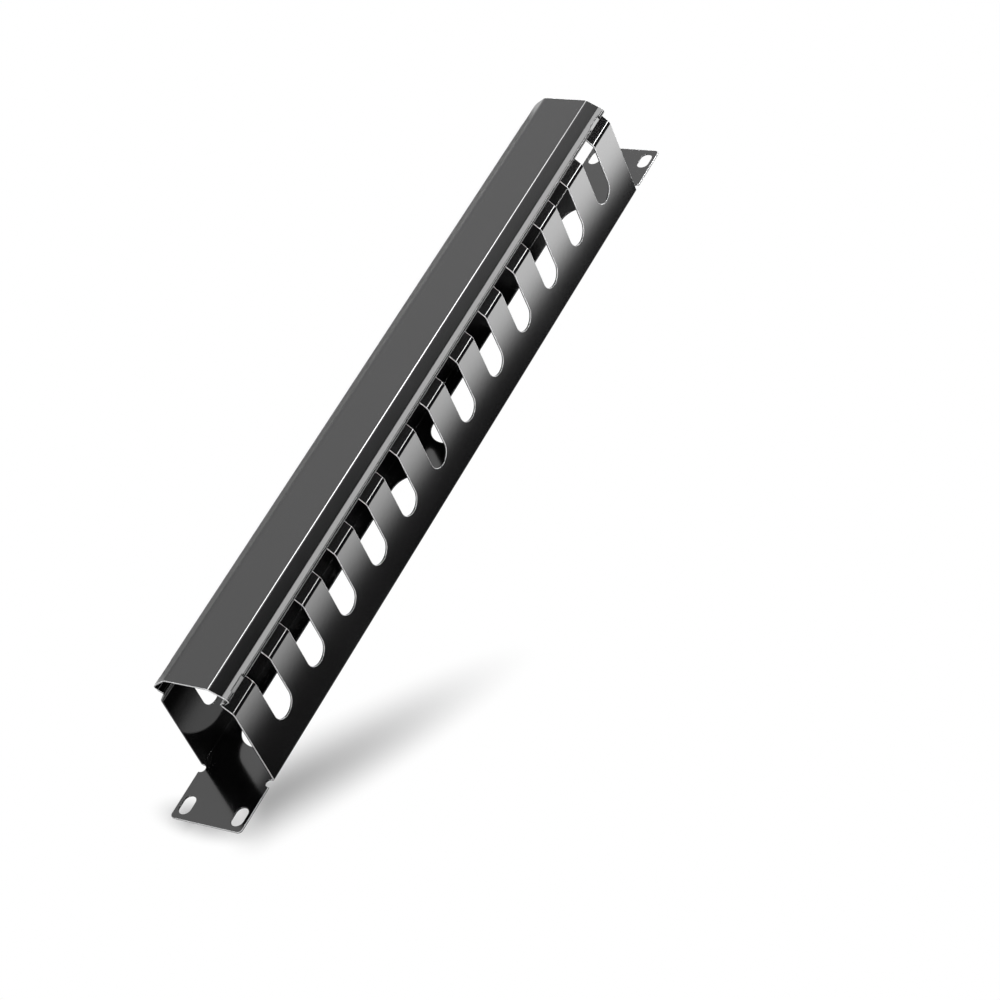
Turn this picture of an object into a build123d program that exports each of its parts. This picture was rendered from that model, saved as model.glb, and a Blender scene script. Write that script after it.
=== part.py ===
from build123d import *
from math import cos, radians, sin, tan
import os

# A horizontal cable manager, one rack unit high: a slotted steel duct with rack ears,
# closed in front by a cover that snaps over the hooked tips of the duct's fingers.
# Millimetres. X runs along the rack, +Y is the back, +Z is up.
# The origin is the centre of the four rack holes, on the back face of the ears.
# Bend radii are the ones inside each fold.

# The rack's unit height and panel width, and where its holes stand in them
unit_height = 44.45
unit_clearance = 0.025
ear_span = 482.6
rack_hole_inset = 8.75
rack_hole_drop = 6.35
rack_slot_length = 11.0
rack_slot_width = 6.8

# Rack ears, level with the duct's back panel, with relief notches beside the folds
ear_reach = 32.3
ear_drop = 0.7
ear_corner_radius = 2.5
relief_width = 4.2
relief_depth = 3.0

# Duct, folded from one sheet
duct_sheet = 1.0
wall_depth = 50.4
back_bend = 0.5
shoulder_bend = 3.0

# Finger tips: a leg that leans inwards from the front-to-back direction, then a short
# hook that turns outwards, parallel with the cover's lip
leg_lean = 38.0
leg_reach = 6.0
hook_length = 3.2
nook_bend = 0.5

# Slots between the fingers, open at the front
slot_count = 12
slot_width = 14.6
slot_floor = 18.0
end_finger_width = 20.2

# The two long openings in the back panel, side by side with a web between them
opening_web = 22.6
opening_end_margin = 15.7
opening_edge_margin = 9.4

# Cover, folded from one sheet: a face, chamfers with a rim that leans a little more, and
# return lips. Leans are measured from the upright direction.
cover_sheet = 0.8
cover_end_gap = 1.0
cover_face_height = 26.2
chamfer_lean = 33.0
rim_lean = 38.5
rim_width = 4.8
lip_lean = 35.5
face_bend = 3.0
rim_bend = 12.0
edge_bend = 0.8
snap_gap = 0.4

# Detents pressed into the cover's folded edges, near its ends
detent_length = 10.2
detent_depth = 0.9
detent_inset = 5.6

# What follows from the rack and the margins
duct_height = unit_height - 2 * unit_clearance
duct_length = ear_span - 2 * ear_reach
ear_height = duct_height - 2 * ear_drop
rack_hole_span = ear_span - 2 * rack_hole_inset
rack_hole_rise = unit_height - 2 * rack_hole_drop
slot_pitch = (duct_length - 2 * end_finger_width - slot_width) / (slot_count - 1)
opening_length = (duct_length - opening_web) / 2 - opening_end_margin
opening_height = duct_height - 2 * opening_edge_margin
cover_length = duct_length - 2 * cover_end_gap
detent_span = cover_length - 2 * detent_inset - detent_length

# Outer skin of the duct's section, above the middle
half_duct = duct_height / 2
leg = radians(leg_lean)
lip = radians(lip_lean)
nook_y = -wall_depth - leg_reach
nook_z = half_duct - leg_reach * tan(leg)
hook_y = nook_y - hook_length * sin(lip)
hook_z = nook_z + hook_length * cos(lip)

# Outer skin of the cover's section, above the middle. The folded edge is an arc level
# with the duct's flange, so the corner that the arc rounds off stands a little higher.
chamfer = radians(chamfer_lean)
rim = radians(rim_lean)
half_face = cover_face_height / 2
edge_radius = edge_bend + cover_sheet
edge_rise = edge_radius * (cos((rim - lip) / 2) / sin((rim + lip) / 2) - 1)
edge_z = half_duct + edge_rise

# The lip's inner side passes the hook, and its end stops short of the leg, both at
# the snap gap.
edge_y = hook_y + (cover_sheet + snap_gap) / cos(lip) - (edge_z - hook_z) * tan(lip)
edge_over_leg = (edge_z - nook_z) * cos(leg) - (edge_y - nook_y) * sin(leg)
lip_length = (edge_over_leg - snap_gap) / cos(leg - lip)
rim_y = edge_y - rim_width * sin(rim)
rim_z = edge_z - rim_width * cos(rim)
face_y = rim_y - (rim_z - half_face) * tan(chamfer)


def folded_sheet(half_skin, half_radii, inner_side, thickness, length):
    """A sheet folded along X, from the outer skin of the upper half of its section."""
    lower_skin = [(y, -z) for y, z in reversed(half_skin)]
    radii = half_radii + half_radii[::-1]
    skin = FilletPolyline(*half_skin, *lower_skin, radius=radii)
    outline = offset(skin, amount=thickness, side=inner_side)
    section = make_face(outline.edges())
    return extrude(Plane.YZ * section, amount=length / 2, both=True)


def duct_fold():
    """Back panel and both flanges with their bent tips, before any cut."""
    skin = [(hook_y, hook_z), (nook_y, nook_z), (-wall_depth, half_duct), (0, half_duct)]
    radii = [nook_bend, shoulder_bend + duct_sheet, back_bend + duct_sheet]
    return folded_sheet(skin, radii, Side.RIGHT, duct_sheet, duct_length)


def ears():
    """Both rack ears, joined by a strip that lies within the back panel."""
    strip_length = (ear_span + duct_length) / 2
    notch_length = 2 * relief_depth
    outline = RectangleRounded(ear_span, ear_height, ear_corner_radius)
    outline -= Rectangle(duct_length, ear_height)
    outline += Rectangle(strip_length, ear_height - 2 * notch_length)
    notch = Rot(0, 0, 90) * SlotOverall(notch_length, relief_width)
    outline -= GridLocations(duct_length + relief_width, ear_height, 2, 2) * notch
    return extrude(Plane.XZ * outline, amount=duct_sheet)


def finger_slots():
    """Round-bottomed slots through both flanges, open towards the front."""
    run = -face_y
    slot = Rot(0, 0, 90) * SlotCenterToCenter(run, slot_width)
    placed = Pos(0, -slot_floor - slot_width / 2 - run / 2) * slot
    row = Sketch() + GridLocations(slot_pitch, 0, slot_count, 1) * placed
    return extrude(row, amount=duct_height, both=True)


def back_cuts():
    """The four rack slots and the two long openings, through the back panel."""
    rack_slot = SlotOverall(rack_slot_length, rack_slot_width)
    opening = SlotOverall(opening_length, opening_height)
    cuts = Sketch() + GridLocations(rack_hole_span, rack_hole_rise, 2, 2) * rack_slot
    cuts += GridLocations(opening_length + opening_web, 0, 2, 1) * opening
    return extrude(Plane.XZ * cuts, amount=2 * duct_sheet)


def duct_body():
    """The duct: one sheet with its ears, back panel, slotted flanges and fingers."""
    return duct_fold() + ears() - finger_slots() - back_cuts()


def rim_skin(z):
    """Where the outer skin of the cover's rim stands at a height."""
    return edge_y - (edge_z - z) * tan(rim)


def lip_skin(z):
    """Where the outer skin of the cover's return lip stands at a height."""
    return edge_y + (edge_z - z) * tan(lip)


def cover_fold():
    """Face, chamfers, rims and return lips of the cover, before the detents."""
    lip_z = edge_z - lip_length * cos(lip)
    skin = [(lip_skin(lip_z), lip_z), (edge_y, edge_z), (rim_y, rim_z), (face_y, half_face)]
    radii = [edge_radius, rim_bend + cover_sheet, face_bend + cover_sheet]
    return folded_sheet(skin, radii, Side.LEFT, cover_sheet, cover_length)


def detent_floor(top):
    """The sheet of one detent: the folded edge pressed flat at a height."""
    low = top - cover_sheet
    front = [(rim_skin(low), low), (rim_skin(top), top)]
    back = [(lip_skin(top), top), (lip_skin(low), low)]
    section = make_face(Polyline(*front, *back, close=True))
    return extrude(Plane.YZ * section, amount=detent_length / 2, both=True)


def snap_cover():
    """The cover, with a stretch of each folded edge pressed flat near each end."""
    top = half_duct - detent_depth
    upwards = (Align.CENTER, Align.CENTER, Align.MIN)
    above = Pos(0, edge_y, top) * Box(detent_length, duct_height, duct_height, align=upwards)
    stations = GridLocations(detent_span, 0, 2, 1)
    floors = Part() + stations * detent_floor(top)
    cuts = Part() + stations * above
    cover = cover_fold() + floors + mirror(floors, about=Plane.XY)
    return cover - cuts - mirror(cuts, about=Plane.XY)


os.makedirs("parts", exist_ok=True)
export_step(duct_body(), "parts/duct_body.step")
export_step(snap_cover(), "parts/snap_cover.step")
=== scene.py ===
import logging
import math
from dataclasses import dataclass, field
from enum import Enum

import bmesh
import bpy
import numpy as np
from mathutils import Matrix, Vector


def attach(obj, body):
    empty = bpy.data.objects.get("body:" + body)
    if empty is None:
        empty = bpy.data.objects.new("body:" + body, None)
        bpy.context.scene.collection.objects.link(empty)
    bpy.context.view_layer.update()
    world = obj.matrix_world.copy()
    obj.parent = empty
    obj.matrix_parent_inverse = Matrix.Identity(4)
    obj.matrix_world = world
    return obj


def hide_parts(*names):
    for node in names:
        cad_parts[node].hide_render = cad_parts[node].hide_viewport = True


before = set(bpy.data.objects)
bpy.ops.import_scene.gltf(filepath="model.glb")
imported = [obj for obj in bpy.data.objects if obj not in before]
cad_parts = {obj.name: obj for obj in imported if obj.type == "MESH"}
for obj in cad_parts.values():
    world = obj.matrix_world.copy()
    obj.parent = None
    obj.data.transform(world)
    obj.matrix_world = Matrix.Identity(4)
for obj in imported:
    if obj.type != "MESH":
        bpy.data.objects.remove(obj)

# A rack cable manager in a small studio: a slotted steel duct with rack ears, and its
# pressed-on cover, both in black powder coat. Metres, +Z up, the front at -Y.
log = logging.getLogger("studio")

Colour = tuple[float, float, float, float]
Point = tuple[float, float, float]


# Shader maths


class Signal:
    """A socket of a node tree that carries a number, with arithmetic on it."""

    def __init__(self, tree: "Tree", socket: bpy.types.NodeSocket) -> None:
        """Wraps a socket.

        Args:
            tree: The tree that the socket belongs to.
            socket: The output socket that carries the number.
        """
        self.tree = tree
        self.socket = socket

    def _math(self, operation: str, first: object, second: object) -> "Signal":
        """One Math node on two values.

        Args:
            operation: The node's operation.
            first: A number or a signal.
            second: A number or a signal.

        Returns:
            The result as a signal.
        """
        node = self.tree.node("ShaderNodeMath", {"operation": operation}, {0: first, 1: second})
        return Signal(self.tree, node.outputs[0])

    def __add__(self, other: object) -> "Signal":
        """This plus another."""
        return self._math("ADD", self, other)

    def __sub__(self, other: object) -> "Signal":
        """This less another."""
        return self._math("SUBTRACT", self, other)

    def __rsub__(self, other: object) -> "Signal":
        """Another less this."""
        return self._math("SUBTRACT", other, self)

    def __mul__(self, other: object) -> "Signal":
        """This times another."""
        return self._math("MULTIPLY", self, other)

    def __neg__(self) -> "Signal":
        """This with its sign turned."""
        return -1.0 * self

    def at_least(self, other: object) -> "Signal":
        """The greater of this and another."""
        return self._math("MAXIMUM", self, other)

    def rising(self, start: float, end: float) -> "Signal":
        """An S-shaped rise of this from 0 at the start to 1 at the end."""
        return self.tree.signal("ShaderNodeMapRange", {"interpolation_type": "SMOOTHSTEP"},
                                {"Value": self, "From Min": start, "From Max": end})

    __radd__ = __add__
    __rmul__ = __mul__


class Tree:
    """The node tree of a material or of the world, built from scratch."""

    def __init__(self, owner: bpy.types.ID) -> None:
        """Empties the owner's tree.

        Args:
            owner: A material or a world.
        """
        owner.use_nodes = True
        self.nodes = owner.node_tree.nodes
        self.links = owner.node_tree.links
        self.nodes.clear()

    def node(self, kind: str, settings: dict | None = None,
             inputs: dict | None = None) -> bpy.types.Node:
        """Adds a node, sets it up and then feeds it.

        Args:
            kind: The node's type name.
            settings: Its settings. The name stops stands for a colour ramp's stops.
            inputs: Values, signals or sockets, by the input's name or number.

        Returns:
            The new node.
        """
        node = self.nodes.new(kind)
        for name, value in (settings or {}).items():
            if name == "stops":
                self._stops(node.color_ramp, value)
            else:
                setattr(node, name, value)
        for name, value in (inputs or {}).items():
            self._feed(node.inputs[name], value)
        return node

    def signal(self, kind: str, settings: dict | None = None, inputs: dict | None = None,
               output: str | int = 0) -> Signal:
        """Adds a node and takes one of its outputs as a number.

        Args:
            kind: The node's type name.
            settings: Its settings.
            inputs: What its sockets get.
            output: The name or number of the output that is taken.

        Returns:
            The output as a signal.
        """
        return Signal(self, self.node(kind, settings, inputs).outputs[output])

    def parts(self, vector: bpy.types.NodeSocket) -> list[Signal]:
        """The three parts of a vector.

        Args:
            vector: The vector's socket.

        Returns:
            Its X, Y and Z parts as signals.
        """
        split = self.node("ShaderNodeSeparateXYZ", inputs={0: vector})
        return [Signal(self, socket) for socket in split.outputs]

    def _feed(self, socket: bpy.types.NodeSocket, value: object) -> None:
        """Links or sets one input socket.

        Args:
            socket: The input.
            value: A signal, an output socket or a plain value.
        """
        if isinstance(value, Signal):
            self.links.new(value.socket, socket)
        elif isinstance(value, bpy.types.NodeSocket):
            self.links.new(value, socket)
        else:
            socket.default_value = value

    @staticmethod
    def _stops(ramp: bpy.types.ColorRamp, stops: list[tuple[float, Colour]]) -> None:
        """Sets a ramp's stops.

        Args:
            ramp: The colour ramp.
            stops: Places from 0 to 1 with their colours.
        """
        while len(ramp.elements) < len(stops):
            ramp.elements.new(0.5)
        for element, (place, colour) in zip(ramp.elements, stops):
            element.position = place
            element.color = colour


# Finishes


@dataclass(frozen=True)
class PowderCoat:
    """Smooth semi-gloss black powder coat: a gentle ripple with a fine grain in it.

    The painted highlight is a pale colour painted on the rounded edges, standing in for the light
    lines that they would catch; the coat itself is black there too.
    """

    name: str
    black: Colour = (0.0030, 0.0030, 0.0032, 1.0)
    grey_black: Colour = (0.0042, 0.0042, 0.0045, 1.0)
    painted_highlight: Colour = (0.80, 0.80, 0.81, 1.0)
    highlight_least: float = 0.6
    smooth: float = 0.08
    matte: float = 0.12
    refraction: float = 1.75
    ripple_per_metre: float = 420.0
    grain_per_metre: float = 3200.0
    cloud_per_metre: float = 26.0
    cloud_detail: float = 3.0
    ripple_detail: float = 2.0
    grain_detail: float = 1.0
    cloud_share: float = 0.7
    ripple_share: float = 0.93
    ripple_depth: float = 0.000004

    def material(self) -> bpy.types.Material:
        """The coat as a material.

        Returns:
            A procedural material on Object coordinates.
        """
        material = bpy.data.materials.new(self.name)
        tree = Tree(material)
        place = tree.node("ShaderNodeTexCoord").outputs["Object"]
        cloud = self._noise(tree, place, self.cloud_per_metre, self.cloud_detail)
        ripple = self._noise(tree, place, self.ripple_per_metre, self.ripple_detail)
        grain = self._noise(tree, place, self.grain_per_metre, self.grain_detail)
        # Painted highlight: the marked rounded edges are mixed towards a pale colour, standing in
        # for light they would catch.
        edge = tree.signal("ShaderNodeAttribute", {"attribute_name": PAINTED_HIGHLIGHT_EDGE}, output="Fac")
        blacks = tree.node("ShaderNodeMix", {"data_type": "RGBA"},
                           {"Factor": cloud, "A": self.black, "B": self.grey_black})
        painted_highlight_share = edge * (self.highlight_least + (1 - self.highlight_least) * grain)
        coat = tree.node("ShaderNodeMix", {"data_type": "RGBA"},
                         {"Factor": painted_highlight_share, "A": blacks.outputs["Result"],
                          "B": self.painted_highlight})
        patches = self.cloud_share * cloud + (1 - self.cloud_share) * grain
        spread = self.smooth + (self.matte - self.smooth) * patches
        height = self.ripple_share * ripple + (1 - self.ripple_share) * grain
        bump = tree.node("ShaderNodeBump", inputs={"Strength": 1.0, "Distance": self.ripple_depth,
                                                   "Height": height})
        skin = tree.node("ShaderNodeBsdfPrincipled", inputs={
            "Base Color": coat.outputs["Result"], "Roughness": spread,
            "IOR": self.refraction, "Normal": bump.outputs["Normal"]})
        tree.node("ShaderNodeOutputMaterial", inputs={"Surface": skin.outputs["BSDF"]})
        return material

    @staticmethod
    def _noise(tree: Tree, place: bpy.types.NodeSocket, per_metre: float,
               detail: float) -> Signal:
        """A soft noise from 0 to 1.

        Args:
            tree: The material's tree.
            place: The coordinates it is laid on.
            per_metre: How many lumps it has in a metre.
            detail: How many finer layers it carries.

        Returns:
            The noise as a signal.
        """
        return tree.signal("ShaderNodeTexNoise", inputs={"Vector": place, "Scale": per_metre,
                                                         "Detail": detail}, output="Fac")


@dataclass(frozen=True)
class Shade:
    """An oval patch of floor, with a near and a far half, where the glow gives way to painted
    shadow.
    """

    head: Point
    turn: float
    near: float
    far: float
    width: float
    glow: float

    def glow_around(self, tree: Tree, place: bpy.types.NodeSocket) -> Signal:
        """The glow, least in the oval's head and full outside it.

        Args:
            tree: The material's tree.
            place: Object coordinates.

        Returns:
            The glow as a signal.
        """
        local = tree.node("ShaderNodeMapping", {"vector_type": "TEXTURE"},
                          {"Vector": place, "Location": self.head,
                           "Rotation": (0.0, 0.0, math.radians(self.turn))})
        along, across, _ = tree.parts(local.outputs["Vector"])
        reach = (along * (1 / self.near)).at_least(along * (-1 / self.far))
        oval = tree.node("ShaderNodeCombineXYZ", inputs={0: reach, 1: across * (1 / self.width)})
        away = tree.signal("ShaderNodeVectorMath", {"operation": "LENGTH"},
                           {0: oval.outputs[0]}, output="Value")
        return self.glow + (1 - self.glow) * away.rising(0.0, 1.0)


@dataclass(frozen=True)
class StudioWhite:
    """White paper for the floor and its upturned rim.

    Cameras and gloss see it lit from within. The glow gives way to the paper, with the shadow on
    it, for the camera in a streak beside the near end and a patch under its ear, and for gloss
    under the cover. These are painted shadow: the paper's real shadow shows in them, but the
    paper is dimmer than the glow, so they are darker even where no shadow falls.
    """

    name: str = "studio_white"
    paper: Colour = (0.72, 0.72, 0.72, 1.0)
    # Painted shadow: a streak beside the near end and a patch under its ear, where the floor is
    # left darker for the camera.
    streak: Shade = Shade((0.186, 0.057, -0.022), -32.6, 0.042, 0.260, 0.030, 0.03)
    ear_patch: Shade = Shade((0.224, 0.0253, -0.022), -60.6, 0.0505, 0.0505, 0.0125, 0.18)
    # Painted shade for gloss: under the cover the floor shows the dimmer paper instead of the
    # glow.
    hidden_side: tuple[float, float] = (0.195, 0.212)
    hidden_front: tuple[float, float] = (0.066, 0.080)
    hidden_back: tuple[float, float] = (0.040, 0.054)
    hidden_near: tuple[float, float] = (-0.05, 0.25)
    hidden_glow: float = 0.22
    rim_fade: tuple[float, float] = (0.93, 1.5)

    def material(self) -> bpy.types.Material:
        """The paper as a material.

        Returns:
            A mix of plain paper and a white glow.
        """
        material = bpy.data.materials.new(self.name)
        tree = Tree(material)
        place = tree.node("ShaderNodeTexCoord").outputs["Object"]
        rays = tree.node("ShaderNodeLightPath")
        camera = Signal(tree, rays.outputs["Is Camera Ray"])
        gloss = Signal(tree, rays.outputs["Is Glossy Ray"])
        gloss = gloss.at_least(Signal(tree, rays.outputs["Is Transmission Ray"]))
        beside = self.streak.glow_around(tree, place) * self.ear_patch.glow_around(tree, place)
        glow = camera * beside + gloss * self._beneath(tree, place)
        paper = tree.node("ShaderNodeBsdfDiffuse", inputs={"Color": self.paper})
        light = tree.node("ShaderNodeEmission", inputs={"Color": (1, 1, 1, 1), "Strength": 1.0})
        mix = tree.node("ShaderNodeMixShader", inputs={
            0: glow, 1: paper.outputs[0], 2: light.outputs[0]})
        tree.node("ShaderNodeOutputMaterial", inputs={"Surface": mix.outputs[0]})
        return material

    def _beneath(self, tree: Tree, place: bpy.types.NodeSocket) -> Signal:
        """The glow for gloss around the strip of floor that the cover hides, dying away up the
        rim: painted shade that gloss sees under the cover and up the rim.

        Args:
            tree: The material's tree.
            place: Object coordinates.

        Returns:
            The glow, full around the strip and little in it, less to the far end.
        """
        across, depth, height = tree.parts(place)
        forward = -depth
        around = across.at_least(-across).rising(*self.hidden_side)
        around = around.at_least(forward.rising(*self.hidden_front))
        around = around.at_least(1 - forward.rising(*self.hidden_back))
        around = around.at_least(self.hidden_glow * across.rising(*self.hidden_near))
        return around * (1 - height.rising(*self.rim_fade))


# The product

# The face attribute that marks the rounded edges that get the painted highlight
PAINTED_HIGHLIGHT_EDGE = "painted_highlight_edge"


class Body(Enum):
    """The bodies that the pieces ride on."""

    DUCT = "duct"
    COVER = "cover"


@dataclass
class FoldedSheet:
    """A piece folded from coated sheet, with its sheared edges rounded.

    The fold's middle is the depth that its outer skin faces away from. Painted highlight lines
    start at a distance from the centre, the flat panel lies beyond another distance or behind a
    depth, and its cuts stay black, without painted highlight, within a half width and a half
    height.
    """

    node: str
    body: Body
    coating_slot: str
    finish: PowderCoat
    fold_middle: float
    highlight_from: float = 0.0
    panel_from: float = 1.0
    panel_behind: float = -0.0012
    black_cuts: tuple[float, float] = (0.0, 0.0)
    edge_round: float = 0.0003
    edge_steps: int = 2
    join_distance: float = 0.000015
    flat_angle: float = 0.2
    crease_angle: float = 42.0
    flat_weight: int = 50

    def build(self) -> bpy.types.Object:
        """Makes the dressed piece from the solid of the same shape.

        Returns:
            The finished object, riding on its body in place of the solid.
        """
        skin = bpy.data.objects.new(f"{self.node}_coated", self._eased_mesh())
        bpy.context.scene.collection.objects.link(skin)
        shade = skin.modifiers.new("flat_fields", "WEIGHTED_NORMAL")
        shade.keep_sharp = False
        shade.weight = self.flat_weight
        skin.data.materials.append(self.finish.material())
        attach(skin, self.body.value)
        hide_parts(self.node)
        return skin

    def _eased_mesh(self) -> bpy.types.Mesh:
        """The solid's triangles joined into one skin, with every sheared edge rounded.

        The folds stay narrow strips and the flat fields one piece each. The rounded edges that
        face the light are marked, so that the coat can paint a pale highlight on them.

        Returns:
            A new mesh.
        """
        mesh = bpy.data.meshes.new(f"{self.node}_coated")
        work = bmesh.new()
        work.from_mesh(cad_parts[self.node].data)
        highlight_mark = work.faces.layers.float.new(PAINTED_HIGHLIGHT_EDGE)
        bmesh.ops.remove_doubles(work, verts=work.verts, dist=self.join_distance)
        bmesh.ops.dissolve_limit(work, angle_limit=math.radians(self.flat_angle),
                                 verts=work.verts, edges=work.edges, delimit=set())
        sheared = [edge for edge in work.edges
                   if edge.calc_face_angle(0.0) > math.radians(self.crease_angle)]
        eased = bmesh.ops.bevel(work, geom=sheared, offset=self.edge_round,
                                offset_type="OFFSET", segments=self.edge_steps, profile=0.5,
                                affect="EDGES", clamp_overlap=False)
        # Mark the rounded edges that get the painted highlight.
        for face in eased["faces"]:
            face.normal_update()
            face[highlight_mark] = float(self._gets_painted_highlight(face.calc_center_median(), face.normal))
        work.to_mesh(mesh)
        work.free()
        mesh.shade_smooth()
        return mesh

    def _gets_painted_highlight(self, place: Vector, normal: Vector) -> bool:
        """Whether a rounded edge gets the painted highlight: it faces out of the fold, or
        forwards on the ears' outline.

        Args:
            place: The middle of the rounded edge's face.
            normal: The way the face looks.

        Returns:
            True for an edge that gets the painted highlight. On the panel, holes don't.
        """
        if abs(place.x) < self.highlight_from:
            return False
        if abs(place.x) > self.panel_from or place.y > self.panel_behind:
            half_width, half_height = self.black_cuts
            inside = abs(place.x) < half_width and abs(place.z) < half_height
            return normal.y < 0 and not inside
        outward = Vector((0.0, place.y - self.fold_middle, place.z))
        return normal.dot(outward) > 0


@dataclass
class Duct(FoldedSheet):
    """The slotted duct with its rack ears, hooked fingers and open back."""

    node: str = "duct_body"
    body: Body = Body.DUCT
    coating_slot: str = "duct_coating"
    finish: PowderCoat = PowderCoat("duct_powder_coat")
    fold_middle: float = -0.028
    panel_from: float = 0.2092
    black_cuts: tuple[float, float] = (0.2395, 0.0203)


@dataclass
class Cover(FoldedSheet):
    """The pressed-on cover with its chamfers, rims, return lips and detents."""

    node: str = "snap_cover"
    body: Body = Body.COVER
    coating_slot: str = "cover_coating"
    finish: PowderCoat = PowderCoat("cover_powder_coat")
    fold_middle: float = -0.045
    highlight_from: float = 0.2074


# The studio


@dataclass
class Floor:
    """A round floor that turns up into a low rim, like a shallow studio bowl."""

    level: float = -0.0225
    reach: float = 3.6
    cove: float = 0.5
    rim_height: float = 1.5
    inner_rings: tuple[float, float] = (0.6, 1.6)
    sectors: int = 96
    cove_steps: int = 12

    def build(self, finish: StudioWhite) -> bpy.types.Object:
        """Makes the floor.

        Args:
            finish: The paper it is covered with.

        Returns:
            The floor.
        """
        mesh = bpy.data.meshes.new("studio_floor")
        mesh.from_pydata(*self.surface())
        mesh.shade_smooth()
        floor = bpy.data.objects.new("studio_floor", mesh)
        bpy.context.scene.collection.objects.link(floor)
        floor.data.materials.append(finish.material())
        return floor

    def surface(self) -> tuple[np.ndarray, list, np.ndarray]:
        """A profile carried once round the upright axis.

        The profile runs out along the floor, up a quarter circle and on to the rim. A
        point of it at radius r and height h, turned by the angle a, stands at
        (r cos a, r sin a, h). The middle is one point, shared by a fan of triangles.

        Returns:
            Corners, no loose edges, and faces.
        """
        turn = np.linspace(0, np.pi / 2, self.cove_steps)
        radius = np.concatenate([self.inner_rings,
                                 self.reach - self.cove + self.cove * np.sin(turn),
                                 [self.reach]])
        height = np.concatenate([[0.0, 0.0], self.cove * (1 - np.cos(turn)),
                                 [self.rim_height]]) + self.level
        angle = np.arange(self.sectors) * (2 * np.pi / self.sectors)
        grid = np.stack([np.outer(radius, np.cos(angle)), np.outer(radius, np.sin(angle)),
                         np.outer(height, np.ones_like(angle))], axis=-1)
        corners = np.vstack([grid.reshape(-1, 3), [[0.0, 0.0, self.level]]])
        column = np.arange(self.sectors)
        after = (column + 1) % self.sectors
        row = np.arange(len(radius) - 1)[:, None] * self.sectors
        walls = np.stack([row + column, row + self.sectors + column,
                          row + self.sectors + after, row + after], axis=-1).reshape(-1, 4)
        hub = np.full_like(column, len(corners) - 1)
        fan = np.stack([hub, column, after], axis=-1)
        return corners, [], [*fan.tolist(), *walls.tolist()]


@dataclass(frozen=True)
class Softbox:
    """A long lamp that gloss mirrors and the camera doesn't see, with a soft lower edge."""

    name: str
    centre: Point
    aim: Point
    length: float
    width: float
    radiance: float
    shares: tuple[float, float, float] = (1.0, 1.0, 1.0)
    soft_from: float = 0.0
    soft_to: float = 0.02
    slant: float = 0.0

    def build(self) -> bpy.types.Object:
        """Hangs the lamp with its long side near the X direction.

        Its power is the radiance times pi times its area.

        Returns:
            The lamp.
        """
        lamp = bpy.data.lights.new(self.name, "AREA")
        lamp.shape = "RECTANGLE"
        lamp.size = self.length
        lamp.size_y = self.width
        lamp.energy = self.radiance * math.pi * self.length * self.width
        box = bpy.data.objects.new(self.name, lamp)
        back = (Vector(self.centre) - Vector(self.aim)).normalized()
        rise = (Vector((0, 0, 1)) - back.z * back).normalized()
        side = rise.cross(back)
        turn = Matrix((side, rise, back)).transposed()
        box.matrix_world = Matrix.Translation(self.centre) @ turn.to_4x4()
        box.visible_camera = False
        bpy.context.scene.collection.objects.link(box)
        self._fade(lamp, side.x < 0)
        return box

    def _fade(self, lamp: bpy.types.AreaLight, runs_back: bool) -> None:
        """Softens the lamp's lower edge and grades its light from end to end.

        The light rises in an S from the soft edge's start to its end, which both climb by
        the slant from the far end to the near end. The shares are those of the far end,
        the middle and the near end.

        Args:
            lamp: The lamp's data.
            runs_back: Whether the lamp's own long side points to the far end.
        """
        tree = Tree(lamp)
        spot = tree.node("ShaderNodeNewGeometry").outputs["Parametric"]
        along, up, _ = tree.parts(spot)
        near = 1 - along if runs_back else along
        climb = up - self.slant * (near - 0.5)
        stops = [(place, (share, share, share, 1.0))
                 for place, share in zip((0.0, 0.5, 1.0), self.shares)]
        share = tree.signal("ShaderNodeValToRGB", {"stops": stops}, {"Fac": near}, output="Color")
        strength = climb.rising(self.soft_from, self.soft_to) * share
        light = tree.node("ShaderNodeEmission", inputs={"Strength": strength})
        tree.node("ShaderNodeOutputLight", inputs={"Surface": light.outputs[0]})


@dataclass(frozen=True)
class Camera:
    """The photograph's camera: its place, the way it looks and its lens."""

    place: Point = (0.78645, -0.97226, 0.82745)
    forward: Point = (-0.52450, 0.66547, -0.53108)
    up: Point = (-0.72992, -0.67258, -0.12190)
    lens: float = 103.95
    sensor: float = 36.0
    nearest: float = 0.01

    def build(self) -> bpy.types.Object:
        """Sets the camera up.

        Returns:
            The scene's camera.
        """
        data = bpy.data.cameras.new("photo_camera")
        data.sensor_width = self.sensor
        data.lens = self.lens
        data.clip_start = self.nearest
        camera = bpy.data.objects.new("photo_camera", data)
        back = -Vector(self.forward).normalized()
        right = Vector(self.up).cross(back).normalized()
        turn = Matrix((right, back.cross(right), back)).transposed()
        camera.matrix_world = Matrix.Translation(self.place) @ turn.to_4x4()
        bpy.context.scene.collection.objects.link(camera)
        bpy.context.scene.camera = camera
        return camera


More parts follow.
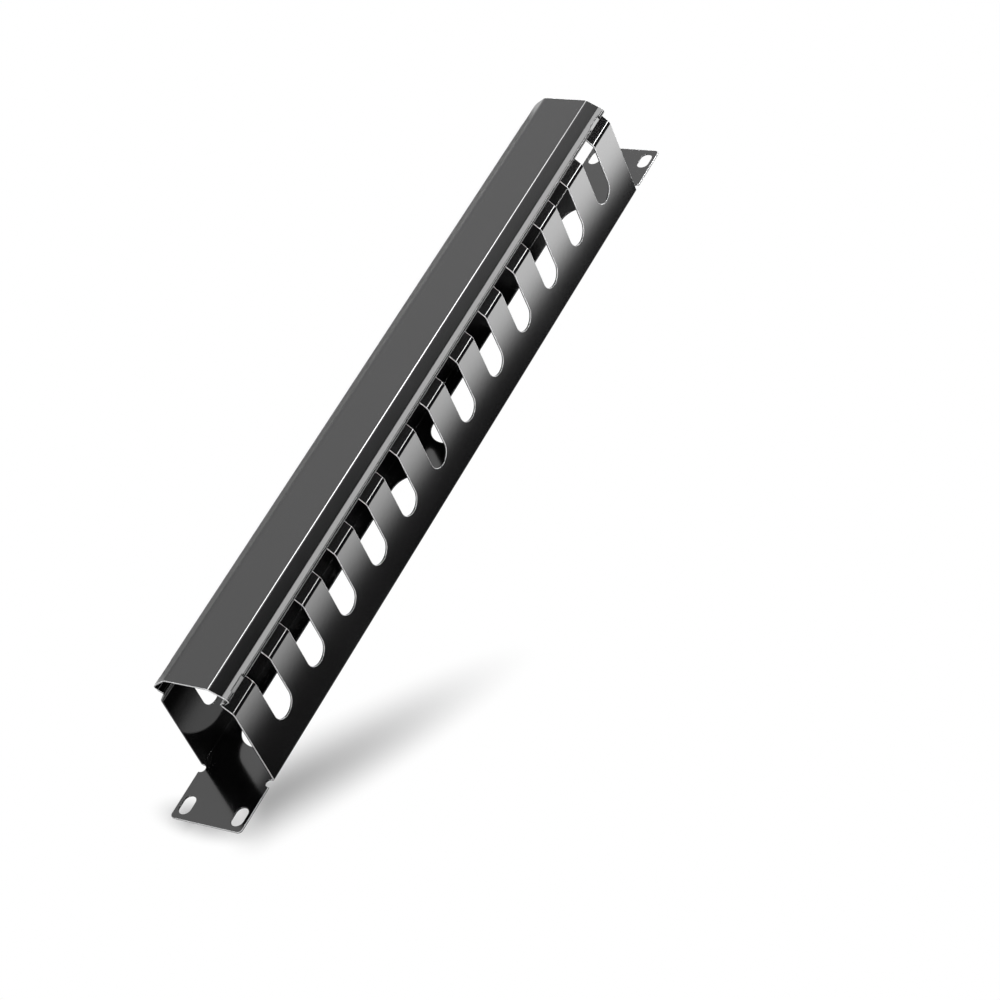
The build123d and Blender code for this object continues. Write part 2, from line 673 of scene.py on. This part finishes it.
@dataclass
class Studio:
    """Camera, floor, lamps and a dark room round them."""

    camera: Camera = Camera()
    floor: Floor = field(default_factory=Floor)
    paper: StudioWhite = StudioWhite()
    room_level: float = 0.03
    lamps: tuple[Softbox, ...] = (
        Softbox("front_low_softbox", (-0.16, -0.30, 0.0), (-0.16, -0.06, 0.0), 0.62, 0.044, 28.0,
                shares=(0.1, 1.0, 0.5)),
        Softbox("front_high_softbox", (-0.29, -0.420, 0.273), (-0.29, -0.06, 0.02), 0.85, 0.07,
                5.0, soft_to=0.17, slant=0.14),
        Softbox("overhead_strip", (-0.33, -0.194, 0.496), (-0.33, -0.06, 0.02), 0.85, 0.044, 52.0,
                shares=(1.0, 0.48, 0.25)),
        Softbox("rear_softbox", (-0.12, 0.13, 0.18), (-0.12, 0.0, 0.18), 0.75, 0.09, 4.9,
                shares=(1.0, 0.72, 0.43), soft_from=0.14, soft_to=0.46, slant=0.36),
        Softbox("end_softbox", (1.6, -0.3, 0.4), (0.0, -0.03, 0.0), 0.6, 0.6, 12.0),
        Softbox("rear_low_panel", (0.055, 0.13, 0.108), (0.055, 0.0, 0.108), 0.13, 0.03, 0.6),
    )

    def build(self) -> None:
        """Sets up the camera, the floor, the lamps and the room."""
        scene = bpy.context.scene
        scene.view_settings.view_transform = "Standard"
        self.camera.build()
        self.floor.build(self.paper)
        for lamp in self.lamps:
            lamp.build()
            log.info("lamp %s", lamp.name)
        self._room()

    def _room(self) -> None:
        """The dim room that fills the shadows."""
        world = bpy.data.worlds.new("studio_room")
        bpy.context.scene.world = world
        tree = Tree(world)
        level = self.room_level
        air = tree.node("ShaderNodeBackground", inputs={"Color": (1, 1, 1, 1), "Strength": level})
        tree.node("ShaderNodeOutputWorld", inputs={"Surface": air.outputs[0]})


def main() -> None:
    """Builds the studio and the product, one piece after the other."""
    logging.basicConfig(level=logging.INFO, format="%(message)s")
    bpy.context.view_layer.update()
    Studio().build()
    for piece in (Duct(), Cover()):
        skin = piece.build()
        log.info("piece %s: %d faces", skin.name, len(skin.data.polygons))


if __name__ == "__main__":
    main()
